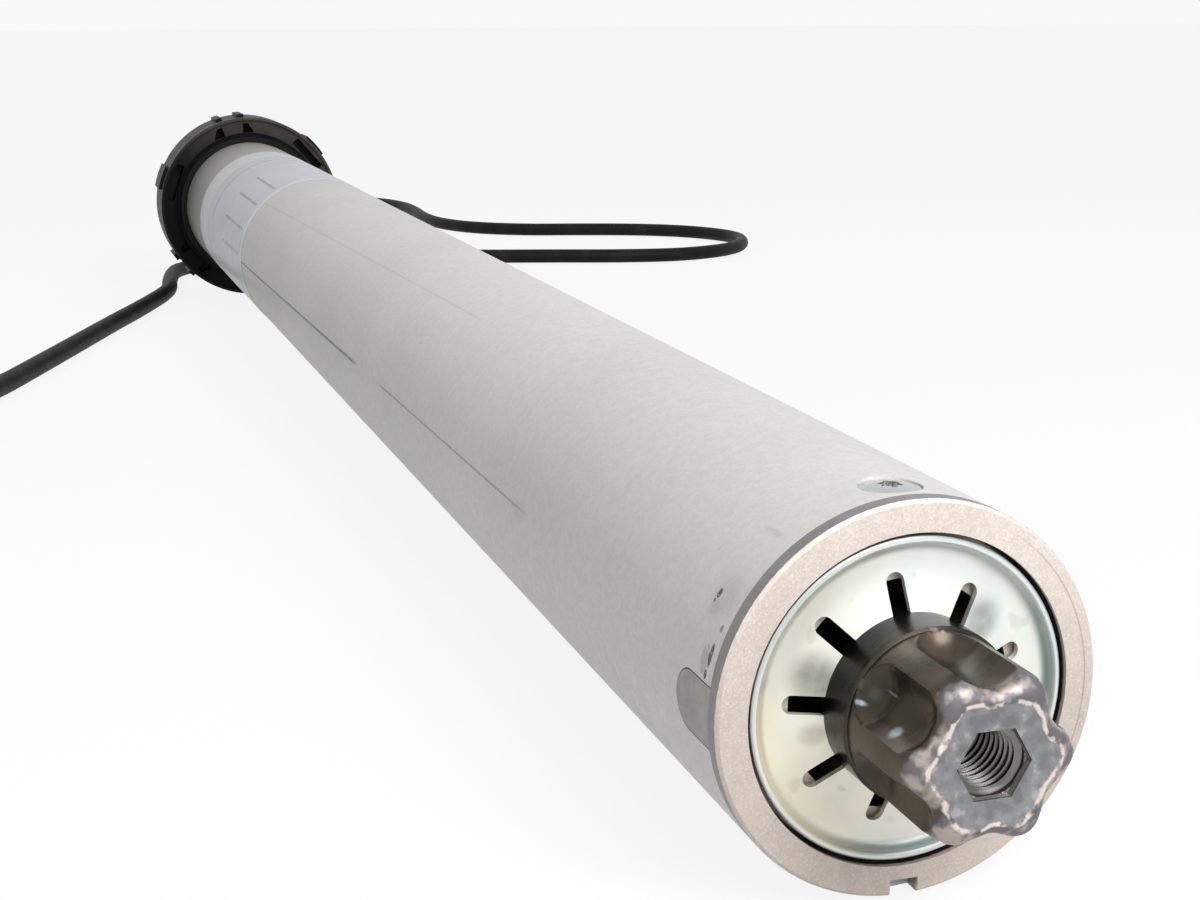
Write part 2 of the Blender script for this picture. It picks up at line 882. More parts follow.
@dataclass(frozen=True)
class CastZinc(Finish):
    """Grainy zinc casting with a warm machined face and plain grey flanks."""

    face: Colour = tone(244, 231, 221)
    shade: Colour = tone(214, 199, 188)
    stain: Colour = tone(184, 172, 164)
    flank: Colour = tone(140, 137, 138)
    lug: Colour = tone(158, 157, 151)
    bright: Colour = tone(250, 243, 236)
    dark: Colour = tone(98, 92, 92)
    gap: Colour = tone(44, 39, 36)
    deep: Colour = tone(34, 32, 30)
    face_at: float = 0.7055
    flank_at: float = 0.7029
    floor_at: float = 0.7012
    recess_r: float = 0.0252
    line_r: tuple[float, float] = (0.02815, 0.02835)
    line_turn: tuple[float, float] = (0.7, 2.2)
    clean_z: tuple[float, float] = (-0.012, 0.030)

    def make(self, effects: Effects) -> bpy.types.Material:
        """Makes the casting: grained face, smooth flank and lugs, pits and a ruled line.

        Args:
            effects: The shared node groups.

        Returns:
            The finished material.
        """
        c = self.start(effects)
        g = c.graph
        grain = g.use(effects.grain, Place=c.place, Scale=2200.0).outputs
        cloud = g.mask(effects.patches, Place=c.place, Scale=150.0, Cover=0.5, Soft=0.14)
        face = self._front(effects, c, grain["Tone"], cloud)
        ragged = g.math("ADD", c.along, g.math("MULTIPLY", g.noise(c.place, 1100.0), 0.0004))
        front = g.rise(ragged, self.face_at, self.face_at + 0.0003)
        flange = g.rise(c.along, self.flank_at - 0.0001, self.flank_at + 0.0001)
        side = g.paint(flange, self.lug, self.flank)
        side = g.paint(g.both(cloud, 0.25), side, self.dark)
        inner = g.outside(g.rise(c.radius, self.recess_r, self.recess_r + 0.0004))
        floor = g.rise(c.along, self.floor_at, self.floor_at + 0.0006)
        colour = g.paint(g.either(front, g.both(inner, floor)), side, face)
        wall = g.both(inner, g.rise(c.radius, self.recess_r - 0.0006, self.recess_r - 0.0002))
        sunk = g.outside(g.rise(ragged, self.face_at - 0.0003, self.face_at + 0.0001))
        colour = g.paint(g.both(wall, sunk), colour, self.gap)
        c.set(Base_Color=g.paint(g.both(inner, g.outside(floor)), colour, self.deep))
        c.set(Metallic=0.3)
        c.set(Roughness=g.level(grain["Tone"], 0.36, 0.56))
        c.bump(grain["Height"], 0.3)
        return c.material

    def _front(self, effects: Effects, c: Coat, grain: Feed, cloud: Feed) -> bpy.types.NodeSocket:
        """Colours the machined face: grain, stains, bright specks, pits and the ruled line.

        Args:
            effects: The shared node groups.
            c: The material under way.
            grain: The grain's tone.
            cloud: The clouds that the flank shares.

        Returns:
            The face's colour.
        """
        g = c.graph
        face = g.paint(g.level(grain, 0.0, 0.75), self.face, self.shade)
        clean = g.rise(g.split(c.place)[2], *self.clean_z)
        face = g.paint(g.both(g.outside(clean), 0.62), face, self.stain)
        face = g.paint(g.both(cloud, 0.4), face, self.shade)
        wide = g.mask(effects.patches, Place=c.place, Scale=62.0, Cover=0.5, Soft=0.12)
        face = g.paint(g.both(wide, clean, 0.2), face, self.bright)
        specks = g.mask(effects.flecks, Place=c.place, Scale=2300.0, Size=0.5)
        face = g.paint(g.both(specks, g.level(clean, 0.22, 0.6)), face, self.bright)
        pits = g.mask(effects.flecks, Place=c.place, Scale=230.0, Size=0.16)
        face = g.paint(g.both(pits, 0.6), face, self.dark)
        (near, far), (low, high) = self.line_r, self.line_turn
        line = g.mask(effects.span, Value=c.radius, Low=near, High=far, Soft=0.00012)
        arc = g.mask(effects.span, Value=c.turn, Low=low, High=high, Soft=0.3)
        return g.paint(g.both(line, arc, 0.45), face, self.dark)


@dataclass(frozen=True)
class YellowedZinc(Finish):
    """Passivated zinc sheet: cream, green, yellow and teal tints, a blue rim and oil stains."""

    cream: Colour = tone(250, 246, 233)
    green: Colour = tone(239, 243, 236)
    yellow: Colour = tone(240, 228, 200)
    teal: Colour = tone(146, 166, 168)
    blue: Colour = tone(214, 226, 231)
    oil: Colour = tone(104, 106, 100)
    scratch: Colour = tone(150, 152, 150)
    rim: float = 0.0241
    aged_y: tuple[float, float] = (-0.022, 0.002)
    bend_lean: tuple[float, float] = (0.8, 0.6)
    bend_from: tuple[float, float] = (-0.004, 0.018)
    stains: tuple[Rub, ...] = (
        Rub(0.0150, -72.0, 0.0056, 19.0, 0.75),
        Rub(0.0150, -104.0, 0.0030, 9.0, 0.4),
        Rub(0.0155, 47.0, 0.0050, 15.0, 0.7),
    )

    def make(self, effects: Effects) -> bpy.types.Material:
        """Makes the sheet from tints that follow clouds and the radius.

        Args:
            effects: The shared node groups.

        Returns:
            The finished material.
        """
        c = self.start(effects)
        g = c.graph
        wide = g.rise(g.noise(c.place, 48.0, 3.0), 0.38, 0.62)
        other = g.rise(g.noise(c.place, 95.0, 4.0), 0.42, 0.68)
        colour = g.paint(wide, self.green, self.cream)
        colour = g.paint(g.both(other, 0.4), colour, self.blue)
        y, z = g.split(c.place)[1:]
        aged = g.both(g.outside(g.rise(y, *self.aged_y)), g.level(wide, 0.45, 1.0))
        colour = g.paint(g.both(aged, 0.8), colour, self.yellow)
        low, high = self.rim - 0.0017, self.rim - 0.0003
        bend = g.mask(effects.span, Value=c.radius, Low=low, High=high, Soft=0.0005)
        beside, above = (g.math("MULTIPLY", *pair) for pair in zip((y, z), self.bend_lean))
        lower = g.rise(g.math("SUBTRACT", beside, above), *self.bend_from)
        colour = g.paint(g.both(bend, lower, 0.75), colour, self.teal)
        edge = g.rise(c.radius, self.rim - 0.0004, self.rim + 0.0003)
        colour = g.paint(g.both(edge, 0.9), colour, self.blue)
        turned = g.use(effects.turned, Along=c.along, Radius=c.radius, Scale=2600.0).outputs
        scratch = g.mask(effects.streaks, Place=c.place, Along=900.0, Across=160.0, Cover=0.25)
        colour = g.paint(g.both(scratch, 0.2), colour, self.scratch)
        for stain in self.stains:
            spot = c.oval(effects, stain, c.radius)
            smear = g.level(g.noise(c.place, 420.0, 4.0), 0.5, 1.2)
            colour = g.paint(g.both(spot, smear, stain.strength), colour, self.oil)
        c.set(Base_Color=colour)
        c.set(Metallic=0.5)
        c.set(Roughness=g.level(other, 0.34, 0.46))
        c.bump(turned["Height"], 0.03)
        return c.material


@dataclass(frozen=True)
class OiledShaft(Finish):
    """Dark oiled steel whose tip is rubbed, with a bluish face inside a pale worn lip."""

    steel: Colour = tone(58, 55, 49)
    brown: Colour = tone(92, 80, 71)
    oil: Colour = tone(30, 30, 28)
    nick: Colour = tone(150, 158, 170)
    bore: Colour = tone(70, 68, 66)
    ring: Colour = tone(104, 104, 98)
    chip: Colour = tone(108, 106, 110)
    rubbed: Colour = tone(178, 166, 159)
    face: Colour = tone(144, 146, 150)
    lip: Colour = tone(228, 213, 204)
    socket: Colour = tone(156, 149, 144)
    lobes: int = 6
    lobe_r: float = 0.0128
    face_r: float = 0.0091
    face_wave: float = 0.00065
    tip: float = 0.7300
    rub_from: float = 0.7260
    rub_lean: float = 0.1
    rub_ragged: float = 0.0036
    shake: float = 0.0019
    socket_r: float = 0.0056
    collar: float = 0.7115
    marks: tuple[Rub, ...] = (
        Rub(0.71295, -71.0, 0.0009, 2.4, 1.0),
        Rub(0.72147, -74.7, 0.0015, 5.6, 1.0),
        Rub(0.71600, -54.0, 0.0018, 1.3, 0.5),
    )

    def make(self, effects: Effects) -> bpy.types.Material:
        """Makes the steel, then its rubbed tip, its face, its lip and its chips.

        Args:
            effects: The shared node groups.

        Returns:
            The finished material.
        """
        c = self.start(effects)
        g = c.graph
        cloud = g.mask(effects.patches, Place=c.place, Scale=95.0, Cover=0.5, Soft=0.2)
        colour = g.paint(cloud, self.steel, self.brown)
        turned = g.use(effects.turned, Along=c.along, Radius=0.0, Scale=5200.0).outputs
        collar = g.outside(g.rise(c.along, self.collar - 0.0003, self.collar + 0.0003))
        colour = g.paint(g.both(collar, 0.95), colour, self.oil)
        lines = g.rise(turned["Height"], 0.58, 0.66)
        colour = g.paint(g.both(collar, lines, 0.4), colour, self.ring)
        for mark in self.marks:
            nick = g.both(c.oval(effects, mark, c.along), mark.strength)
            colour = g.paint(nick, colour, self.nick)
        worn, blotch = self._worn(effects, c)
        colour = g.paint(worn, colour, g.paint(blotch, self.rubbed, self.chip))
        front = g.rise(c.along, self.tip - 0.0022, self.tip - 0.0004)
        beyond = self._beyond(c)
        scratch = g.mask(effects.streaks, Place=c.place, Along=300.0, Across=900.0, Cover=0.3)
        face = g.paint(g.both(scratch, 0.45), self.face, self.rubbed)
        mottle = g.noise(c.place, 430.0, 5.0)
        face = g.paint(g.both(g.rise(mottle, 0.42, 0.62), 0.5), face, self.chip)
        face = g.paint(g.both(g.outside(g.rise(mottle, 0.34, 0.42)), 0.3), face, self.lip)
        colour = g.paint(g.both(front, g.outside(g.rise(beyond, -0.0004, 0.0))), colour, face)
        lip = g.mask(effects.span, Value=beyond, Low=-0.00035, High=0.0003, Soft=0.00018)
        torn = g.rise(g.noise(c.place, 520.0, 5.0), 0.39, 0.53)
        colour = g.paint(g.both(front, lip, torn), colour, self.lip)
        inside = g.outside(g.rise(c.radius, self.socket_r, self.socket_r + 0.0002))
        sunk = g.both(inside, g.outside(g.rise(c.along, self.tip - 0.0008, self.tip - 0.0006)))
        shallow = g.rise(c.along, self.tip - 0.0018, self.tip - 0.0015)
        c.set(Base_Color=g.paint(sunk, colour, g.paint(shallow, self.bore, self.socket)))
        c.set(Metallic=g.level(g.either(worn, sunk), 0.88, 0.5))
        c.set(Roughness=g.level(worn, g.level(cloud, 0.24, 0.36), 0.46))
        pits = g.math("ADD", g.noise(c.place, 800.0, 4.0), g.both(worn, blotch, 0.5))
        c.bump(pits, 0.14)
        return c.material

    def _worn(self, effects: Effects, c: Coat) -> tuple[bpy.types.NodeSocket, bpy.types.NodeSocket]:
        """Masks the rubbed tip and the bluish blotches in it.

        Args:
            effects: The shared node groups.
            c: The material under way.

        Returns:
            The rubbed mask and the blotch mask.
        """
        g = c.graph
        sunk = g.math("MULTIPLY", g.math("SUBTRACT", c.radius, self.lobe_r), 0.6)
        wander = g.math("MULTIPLY", g.noise(c.place, 360.0, 5.0), self.rub_ragged)
        ragged = g.math("ADD", c.along, wander)
        lean = g.math("MULTIPLY", g.split(c.place)[1], self.rub_lean)
        ragged = g.math("ADD", g.math("ADD", ragged, sunk), lean)
        worn = g.rise(ragged, self.rub_from + 0.0018, self.rub_from + 0.0030)
        blotch = g.mask(effects.patches, Place=c.place, Scale=250.0, Cover=0.55, Soft=0.07)
        return worn, blotch

    def _beyond(self, c: Coat) -> bpy.types.NodeSocket:
        """Gives how far a point lies outside the face's wavy edge, a little unevenly.

        Args:
            c: The material under way.

        Returns:
            The distance in metres.
        """
        g = c.graph
        wave = g.math("COSINE", g.math("MULTIPLY", c.turn, float(self.lobes)))
        edge = g.math("SUBTRACT", self.face_r, g.math("MULTIPLY", wave, self.face_wave))
        uneven = g.math("SUBTRACT", g.noise(c.place, 340.0, 4.0), 0.5)
        shake = g.math("MULTIPLY", uneven, self.shake)
        return g.math("SUBTRACT", g.math("ADD", c.radius, shake), edge)


@dataclass(frozen=True)
class LeadJacket(Finish):
    """Black rubber jacket of the mains lead, with a soft gloss and dusty rubs."""

    colour: Colour = tone(21, 21, 23)
    dust: Colour = tone(52, 53, 57)

    def make(self, effects: Effects) -> bpy.types.Material:
        """Makes the jacket from fine grain and dust.

        Args:
            effects: The shared node groups.

        Returns:
            The finished material.
        """
        c = self.start(effects)
        g = c.graph
        grain = g.use(effects.grain, Place=c.place, Scale=2200.0).outputs
        dust = g.mask(effects.patches, Place=c.place, Scale=90.0, Cover=0.36, Soft=0.12)
        c.set(Base_Color=g.paint(g.both(dust, 0.3), self.colour, self.dust))
        c.set(Roughness=g.level(grain["Tone"], 0.5, 0.62))
        c.set(Specular_IOR_Level=0.14)
        c.bump(grain["Height"], 0.08)
        return c.material


class Slot(Enum):
    """Material slots of the record that the frame's nodes and new pieces carry."""

    TUBE_PAINT = "tube_paint"
    CAST_ZINC = "cast_zinc"
    PLATED_SHEET = "plated_sheet"
    DARK_STEEL = "dark_steel"
    BRIGHT_STEEL = "bright_steel"
    BLACK_PLASTIC = "black_plastic"
    BLACK_STEEL = "black_steel"
    YELLOW_PLASTIC = "yellow_plastic"
    WHITE_PLASTIC = "white_plastic"
    IVORY_PLASTIC = "ivory_plastic"
    DIE_CASTING = "die_casting"
    GEAR_STEEL = "gear_steel"
    LAMINATIONS = "laminations"
    COPPER = "copper"
    BRAKE_LINING = "brake_lining"
    BRONZE = "bronze"
    CORD_RUBBER = "cord_rubber"
    TIE_PLASTIC = "tie_plastic"
    WIRE_COVER = "wire_cover"


FINISHES: dict[Slot, Finish] = {
    Slot.TUBE_PAINT: TubePaint("tube_paint"),
    Slot.CAST_ZINC: CastZinc("cast_zinc"),
    Slot.PLATED_SHEET: YellowedZinc("yellowed_zinc"),
    Slot.DARK_STEEL: OiledShaft("oiled_shaft"),
    Slot.BRIGHT_STEEL: WorkedMetal("bright_steel", tone(204, 206, 208), tone(150, 152, 156), 0.26),
    Slot.BLACK_PLASTIC: MouldedPlastic(
        "black_plastic", tone(15, 15, 16), tone(30, 30, 33), 0.46, gloss=0.16
    ),
    Slot.BLACK_STEEL: WorkedMetal("black_steel", tone(24, 24, 26), tone(17, 17, 18), 0.5),
    Slot.YELLOW_PLASTIC: MouldedPlastic(
        "yellow_plastic", tone(226, 186, 40), tone(236, 206, 96), 0.4
    ),
    Slot.WHITE_PLASTIC: MouldedPlastic(
        "white_plastic", tone(228, 227, 222), tone(206, 204, 196), 0.42
    ),
    Slot.IVORY_PLASTIC: MouldedPlastic(
        "ivory_plastic", tone(222, 212, 184), tone(204, 190, 158), 0.45
    ),
    Slot.DIE_CASTING: WorkedMetal(
        "die_casting", tone(176, 177, 176), tone(138, 138, 136), 0.46, 0.8
    ),
    Slot.GEAR_STEEL: WorkedMetal("gear_steel", tone(152, 152, 150), tone(104, 98, 88), 0.3),
    Slot.LAMINATIONS: SheetStack("laminations", tone(132, 130, 128), tone(78, 62, 50)),
    Slot.COPPER: WoundWire("copper_winding", tone(198, 112, 62), tone(116, 58, 30)),
    Slot.BRAKE_LINING: MouldedPlastic(
        "brake_lining", tone(70, 60, 50), tone(104, 92, 78), 0.8, 700.0, 0.4
    ),
    Slot.BRONZE: WorkedMetal("bronze", tone(44, 36, 28), tone(28, 24, 20), 0.45),
    Slot.CORD_RUBBER: LeadJacket("cord_rubber"),
    Slot.TIE_PLASTIC: MouldedPlastic("tie_plastic", tone(40, 40, 42), tone(74, 74, 78), 0.36),
    Slot.WIRE_COVER: MouldedPlastic("wire_brown", tone(104, 62, 36), tone(128, 84, 56), 0.36),
}

OWN_FINISHES: dict[str, Finish] = {
    "crown": DustyPlastic("dusty_plastic"),
    "mounting_plate": YellowedZinc("plated_head", rim=0.0352, stains=()),
}

WIRE_COVERS: tuple[Finish, ...] = (
    FINISHES[Slot.WIRE_COVER],
    MouldedPlastic("wire_black", tone(36, 36, 38), tone(70, 70, 74), 0.36),
    MouldedPlastic("wire_blue", tone(52, 92, 160), tone(92, 126, 182), 0.36),
    MouldedPlastic("wire_earth", tone(58, 128, 56), tone(206, 190, 58), 0.36),
)
BARE_COPPER: Finish = WoundWire("bare_copper", tone(206, 126, 76), tone(140, 76, 42))
CUT_THREAD: Finish = WorkedMetal("cut_thread", tone(122, 120, 117), tone(66, 63, 60), 0.2)


class Wardrobe:
    """Makes each finish once and dresses objects with it."""

    def __init__(self) -> None:
        """Builds the shared effects and starts with no material."""
        self.effects = Effects()
        self._made: dict[str, bpy.types.Material] = {}

    def material(self, finish: Finish) -> bpy.types.Material:
        """Gives a finish's material, made on its first use.

        Args:
            finish: The finish.

        Returns:
            Its material.
        """
        if finish.name not in self._made:
            self._made[finish.name] = finish.make(self.effects)
        return self._made[finish.name]

    def dress(self, obj: bpy.types.Object, *finishes: Finish) -> None:
        """Puts finishes on an object in place of what it had.

        Args:
            obj: The object.
            *finishes: One finish for each material slot.
        """
        obj.data.materials.clear()
        for finish in finishes:
            obj.data.materials.append(self.material(finish))


def put_in_scene(name: str, data: bpy.types.ID) -> bpy.types.Object:
    """Links a new object to the scene.

    Args:
        name: The object's name.
        data: Its mesh, curve, lamp or camera.

    Returns:
        The object.
    """
    obj = bpy.data.objects.new(name, data)
    bpy.context.scene.collection.objects.link(obj)
    return obj


def declare(piece: bpy.types.Object, body: str, slot: Slot, *nodes: str) -> None:
    """Says which body a piece rides on, its material slot and the nodes that it replaces.

    Args:
        piece: The new piece.
        body: The body's name.
        slot: The record's slot.
        *nodes: The replaced nodes, where there are any.
    """
    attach(piece, body)
    if nodes:
        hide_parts(*nodes)


def swing(
    bm: bmesh.types.BMesh, verts: Iterable[bmesh.types.BMVert], angle: float, axis: str
) -> None:
    """Turns vertices about an axis through the origin.

    Args:
        bm: The bmesh under way.
        verts: The vertices.
        angle: The turn in radians.
        axis: X, Y or Z.
    """
    turn = Matrix.Rotation(angle, 3, axis)
    bmesh.ops.rotate(bm, cent=(0, 0, 0), matrix=turn, verts=list(verts))


def round_off(
    bm: bmesh.types.BMesh, edges: Sequence[bmesh.types.BMEdge], reach: float, segments: int
) -> list[bmesh.types.BMVert]:
    """Rounds edges.

    Args:
        bm: The bmesh under way.
        edges: The edges.
        reach: How far the round goes into each side.
        segments: Its steps.

    Returns:
        The new vertices.
    """
    return bmesh.ops.bevel(
        bm, geom=edges, offset=reach, offset_type="OFFSET", segments=segments, profile=0.5,
        affect="EDGES", material=-1,
    )["verts"]


def settle_order(bm: bmesh.types.BMesh) -> None:
    """Sorts vertices, edges and faces by place, so that each run gives the same order.

    Args:
        bm: The bmesh under way.
    """
    for index, vert in enumerate(sorted(bm.verts, key=lambda vert: vert.co[:])):
        vert.index = index
    bm.verts.sort()
    for parts in (bm.edges, bm.faces):
        ranked = sorted(parts, key=lambda part: sorted(vert.index for vert in part.verts))
        for index, part in enumerate(ranked):
            part.index = index
        parts.sort()


def close_mesh(bm: bmesh.types.BMesh, name: str, smooth_deg: float = 35.0) -> bpy.types.Object:
    """Turns a bmesh into a linked object with outward faces.

    Args:
        bm: The bmesh, which is freed.
        name: The new piece's name.
        smooth_deg: Edges sharper than this stay sharp.

    Returns:
        The new object.
    """
    bmesh.ops.remove_doubles(bm, verts=bm.verts, dist=1e-6)
    bmesh.ops.recalc_face_normals(bm, faces=bm.faces)
    settle_order(bm)
    limit = math.radians(smooth_deg)
    for edge in bm.edges:
        edge.smooth = len(edge.link_faces) == 2 and edge.calc_face_angle(0.0) < limit
    for face in bm.faces:
        face.smooth = True
    mesh = bpy.data.meshes.new(name)
    bm.to_mesh(mesh)
    bm.free()
    return put_in_scene(name, mesh)


def cut_away(blank: bpy.types.Object, cutter: bpy.types.Object, name: str) -> bpy.types.Object:
    """Cuts one object out of another and keeps only the result.

    Args:
        blank: The object that is cut.
        cutter: What is taken out of it.
        name: The result's name.

    Returns:
        The result.
    """
    cut = blank.modifiers.new("cut", "BOOLEAN")
    cut.operation = "DIFFERENCE"
    cut.solver = "EXACT"
    cut.object = cutter
    done = blank.evaluated_get(bpy.context.evaluated_depsgraph_get())
    bm = bmesh.new()
    bm.from_mesh(done.to_mesh())
    done.to_mesh_clear()
    for spare in (blank, cutter):
        bpy.data.objects.remove(spare)
    return close_mesh(bm, name)


@dataclass
class Table:
    """The table's plane under the motor, which touches the crown's edge and the ring's rim."""

    crown_x: float = 35.5 * MM
    crown_r: float = 41.4 * MM
    ring_x: float = 706.0 * MM
    ring_r: float = 30.0 * MM

    @property
    def slope(self) -> float:
        """Rise of the table for each metre along the tube."""
        return (self.crown_r - self.ring_r) / (self.ring_x - self.crown_x)

    def height(self, x: float) -> float:
        """Height of the table at a place along the tube."""
        return -self.crown_r + (x - self.crown_x) * self.slope

    def laid(self, x: float, y: float, above: float) -> Vector:
        """Gives a point at a height above the table.

        Args:
            x: Place along the tube.
            y: Place across it.
            above: Height above the table.

        Returns:
            The point.
        """
        return Vector((x, y, self.height(x) + above))


@dataclass
class Lead:
    """Mains lead: its route on the table, its tied coil and its stripped wires."""

    table: Table
    diameter: float = 7.2 * MM
    length: float = 2.625
    gap: float = 0.4 * MM
    exit: Vector = field(default_factory=lambda: Vector((-28.0, 0.0, -14.0)) * MM)
    rise: tuple[tuple[float, float, float], ...] = (
        (-50, 0, 29.5), (-88, 0, 25), (-126, 0, 14.5), (-164, 1, 6.5),
    )
    run: tuple[tuple[float, float], ...] = (
        (-204, 4), (-248, 10), (-294, 22), (-338, 42), (-370, 70), (-382, 104), (-368, 135),
        (-332, 150), (-288, 151), (-250, 148), (-212, 150), (-180, 163), (-158, 188), (-146, 220),
        (-132, 252), (-110, 277), (-78, 290), (-46, 284), (-20, 264), (-8, 234), (-12, 202),
        (-24, 168), (-36, 132), (-48, 96), (-60, 60), (-67, 26), (-60, -6), (-36, -28),
        (0, -36), (40, -41), (85, -55), (132, -72), (180, -89), (225, -105), (262, -118.5),
    )
    entry: tuple[float, float] = (299.6 * MM, -132.2 * MM)
    heading: float = math.radians(-20.0)
    coil_r: float = 45.0 * MM
    pitch: float = 7.8 * MM
    lift: float = 5.0 * MM
    turned: float = 630.0
    climb: float = 180.0
    coil_step: float = 7.5
    tail: float = 150.0 * MM
    tail_marks: tuple[tuple[float, float], ...] = (
        (0.0, 0.0), (0.15, 0.02), (0.35, 0.35), (0.55, 0.75), (0.75, 1.0), (1.0, 1.0),
    )
    wire_r: float = 1.2 * MM
    wire_len: float = 45.0 * MM
    wire_drop: float = 2.4 * MM
    wire_steps: int = 8
    wires: tuple[tuple[float, float, float], ...] = (
        (-1.4, 1.4, -9.0), (1.4, 1.4, 3.5), (-1.4, -1.4, -3.5), (1.4, -1.4, 9.0),
    )
    tip_r: float = 0.7 * MM
    tip_len: float = 8.0 * MM
    tip_tuck: float = 1.0 * MM
    strands: int = 6
    strand_share: float = 0.36
    strand_twist: float = 1.6
    tie_turn: float = math.radians(-30.0)
    tie_pass: float = 100.0
    tie_w: float = 10.0 * MM
    tie_t: float = 0.8 * MM
    tie_gap: float = 0.3 * MM
    tie_fold: float = 3.2 * MM
    tie_rim: float = 0.2 * MM

    @property
    def radius(self) -> float:
        """Half the lead's diameter."""
        return self.diameter / 2

    @property
    def lie(self) -> float:
        """Height of the lead's middle where it lies on the table."""
        return self.radius + self.gap

    @property
    def centre(self) -> tuple[float, float]:
        """Middle of the coil."""
        x, y = self.entry
        return x + self.coil_r * math.sin(self.heading), y - self.coil_r * math.cos(self.heading)

    @property
    def way(self) -> Vector:
        """Direction in which the lead enters the coil."""
        flat = math.cos(self.heading)
        return Vector((flat, math.sin(self.heading), flat * self.table.slope)).normalized()

    @property
    def coil_end(self) -> float:
        """Turn in degrees at which the coil ends, after winding inwards and outwards again."""
        return 2 * self.turned + self.climb

    def coil_radius(self, turn: float) -> float:
        """Radius of the coil after a turn in degrees."""
        return self.coil_r - self.pitch * min(turn, self.coil_end - turn) / 360.0

    def coil_point(self, turn: float) -> Vector:
        """Gives a point of the coil.

        Args:
            turn: Degrees from where the lead enters.

        Returns:
            The point.
        """
        angle = self.heading + math.radians(90.0 - turn)
        radius = self.coil_radius(turn)
        up = min(1.0, max(0.0, (turn - self.turned) / self.climb))
        x, y = self.centre
        return self.table.laid(
            x + radius * math.cos(angle), y + radius * math.sin(angle), self.lift + self.pitch * up
        )

    @staticmethod
    def smoothed(points: Sequence[Vector], steps: int) -> list[Vector]:
        """Runs one smooth curve through points.

        Args:
            points: The points.
            steps: Steps between two of them.

        Returns:
            The curve's points.
        """
        last = len(points) - 1
        out: list[Vector] = []
        for i in range(last):
            a, b = points[max(i - 1, 0)], points[i]
            c, d = points[i + 1], points[min(i + 2, last)]
            for k in range(steps):
                t = k / steps
                out.append(
                    0.5 * (2 * b + (c - a) * t + (2 * a - 5 * b + 4 * c - d) * t * t
                           + (3 * b - a - 3 * c + d) * t ** 3)
                )
        return out + [points[last]]

    def route(self) -> list[Vector]:
        """Gives the lead's whole middle line, from the gland to the stripped end.

        Returns:
            The line's points.
        """
        last = int(self.coil_end / self.coil_step)
        coil = [self.coil_point(self.coil_step * k) for k in range(last + 1)]
        lead_in = coil[0] - self.diameter * self.way
        marks = [self.exit]
        marks += [self.table.laid(x * MM, y * MM, z * MM) for x, y, z in self.rise]
        marks += [self.table.laid(x * MM, y * MM, self.lie) for x, y in self.run]
        return self.smoothed(marks + [lead_in], 4) + coil + self.smoothed(self.tail_line(), 3)

    def tail_line(self) -> list[Vector]:
        """Gives the marks of the loose end, from the coil down to the table.

        Returns:
            The marks.
        """
        start = self.coil_point(self.coil_end) + self.diameter * self.way
        drop = self.lift + self.pitch - self.lie
        return [
            start + self.way * self.tail * along - Vector((0.0, 0.0, drop * down))
            for along, down in self.tail_marks
        ]

    def wire_line(self, wire: tuple[float, float, float], beyond: float = 0.0) -> list[Vector]:
        """Gives the middle line of one stripped wire.

        Args:
            wire: Its place beside and above the middle, and how far it spreads, in millimetres.
            beyond: Length of the strands past its cover.

        Returns:
            The points of the cover, or the two ends of the strands where beyond is more than 0.
        """
        end = self.tail_line()[-1]
        ahead = self.way
        side = ahead.cross(Vector((0.0, 0.0, 1.0)))
        points = []
        for k in range(self.wire_steps + 1):
            m = k / self.wire_steps
            sag = Vector((0.0, 0.0, wire[1] * MM * (1 - m) - self.wire_drop * m * m))
            spread = side * (wire[0] + wire[2] * m) * MM
            points.append(end + ahead * m * self.wire_len + spread + sag)
        if beyond:
            return [points[-1] - ahead * self.tip_tuck, points[-1] + ahead * beyond]
        return points

    @staticmethod
    def _curve(name: str, radius: float, sides: int) -> bpy.types.Object:
        """Adds an empty round curve object.

        Args:
            name: The piece's name.
            radius: Radius of its section.
            sides: Smoothness of its section.

        Returns:
            The object.
        """
        data = bpy.data.curves.new(name, "CURVE")
        data.dimensions = "3D"
        data.bevel_depth = radius
        data.bevel_resolution = sides
        data.use_fill_caps = True
        return put_in_scene(name, data)

    @staticmethod
    def _spline(obj: bpy.types.Object, points: Sequence[Vector], material: int = 0) -> None:
        """Adds one open line to a curve object.

        Args:
            obj: The curve object.
            points: The line's points.
            material: Its material slot.
        """
        spline = obj.data.splines.new("POLY")
        spline.points.add(len(points) - 1)
        for point, place in zip(spline.points, points):
            point.co = (*place, 1.0)
        spline.use_smooth = True
        spline.material_index = material

    def build(self, wardrobe: Wardrobe, gland: bpy.types.Object) -> list[bpy.types.Object]:
        """Args:
            wardrobe: The finishes.
            gland: The frame's gland, which the lead leaves.

        Returns:
            The new pieces.
        """
        cord = self._curve("lead_cord", self.radius, 4)
        self._spline(cord, self.route())
        wardrobe.dress(cord, FINISHES[Slot.CORD_RUBBER])
        wires = self._curve("lead_wires", self.wire_r, 3)
        wardrobe.dress(wires, *WIRE_COVERS)
        for index, wire in enumerate(self.wires):
            self._spline(wires, self.wire_line(wire), index)
        strands = self._curve("lead_strands", self.tip_r * self.strand_share, 2)
        for wire in self.wires:
            self._strands(strands, *self.wire_line(wire, self.tip_len))
        wardrobe.dress(strands, BARE_COPPER)
        tie = self._tie()
        wardrobe.dress(tie, FINISHES[Slot.TIE_PLASTIC])
        declare(cord, "housing", Slot.CORD_RUBBER, "cord", "cord_coil", "cord_tail")
        declare(wires, "housing", Slot.WIRE_COVER, "wire_ends")
        declare(strands, "housing", Slot.COPPER, "wire_tips")
        declare(tie, "housing", Slot.TIE_PLASTIC, "coil_tie")
        return [cord, wires, strands, tie]

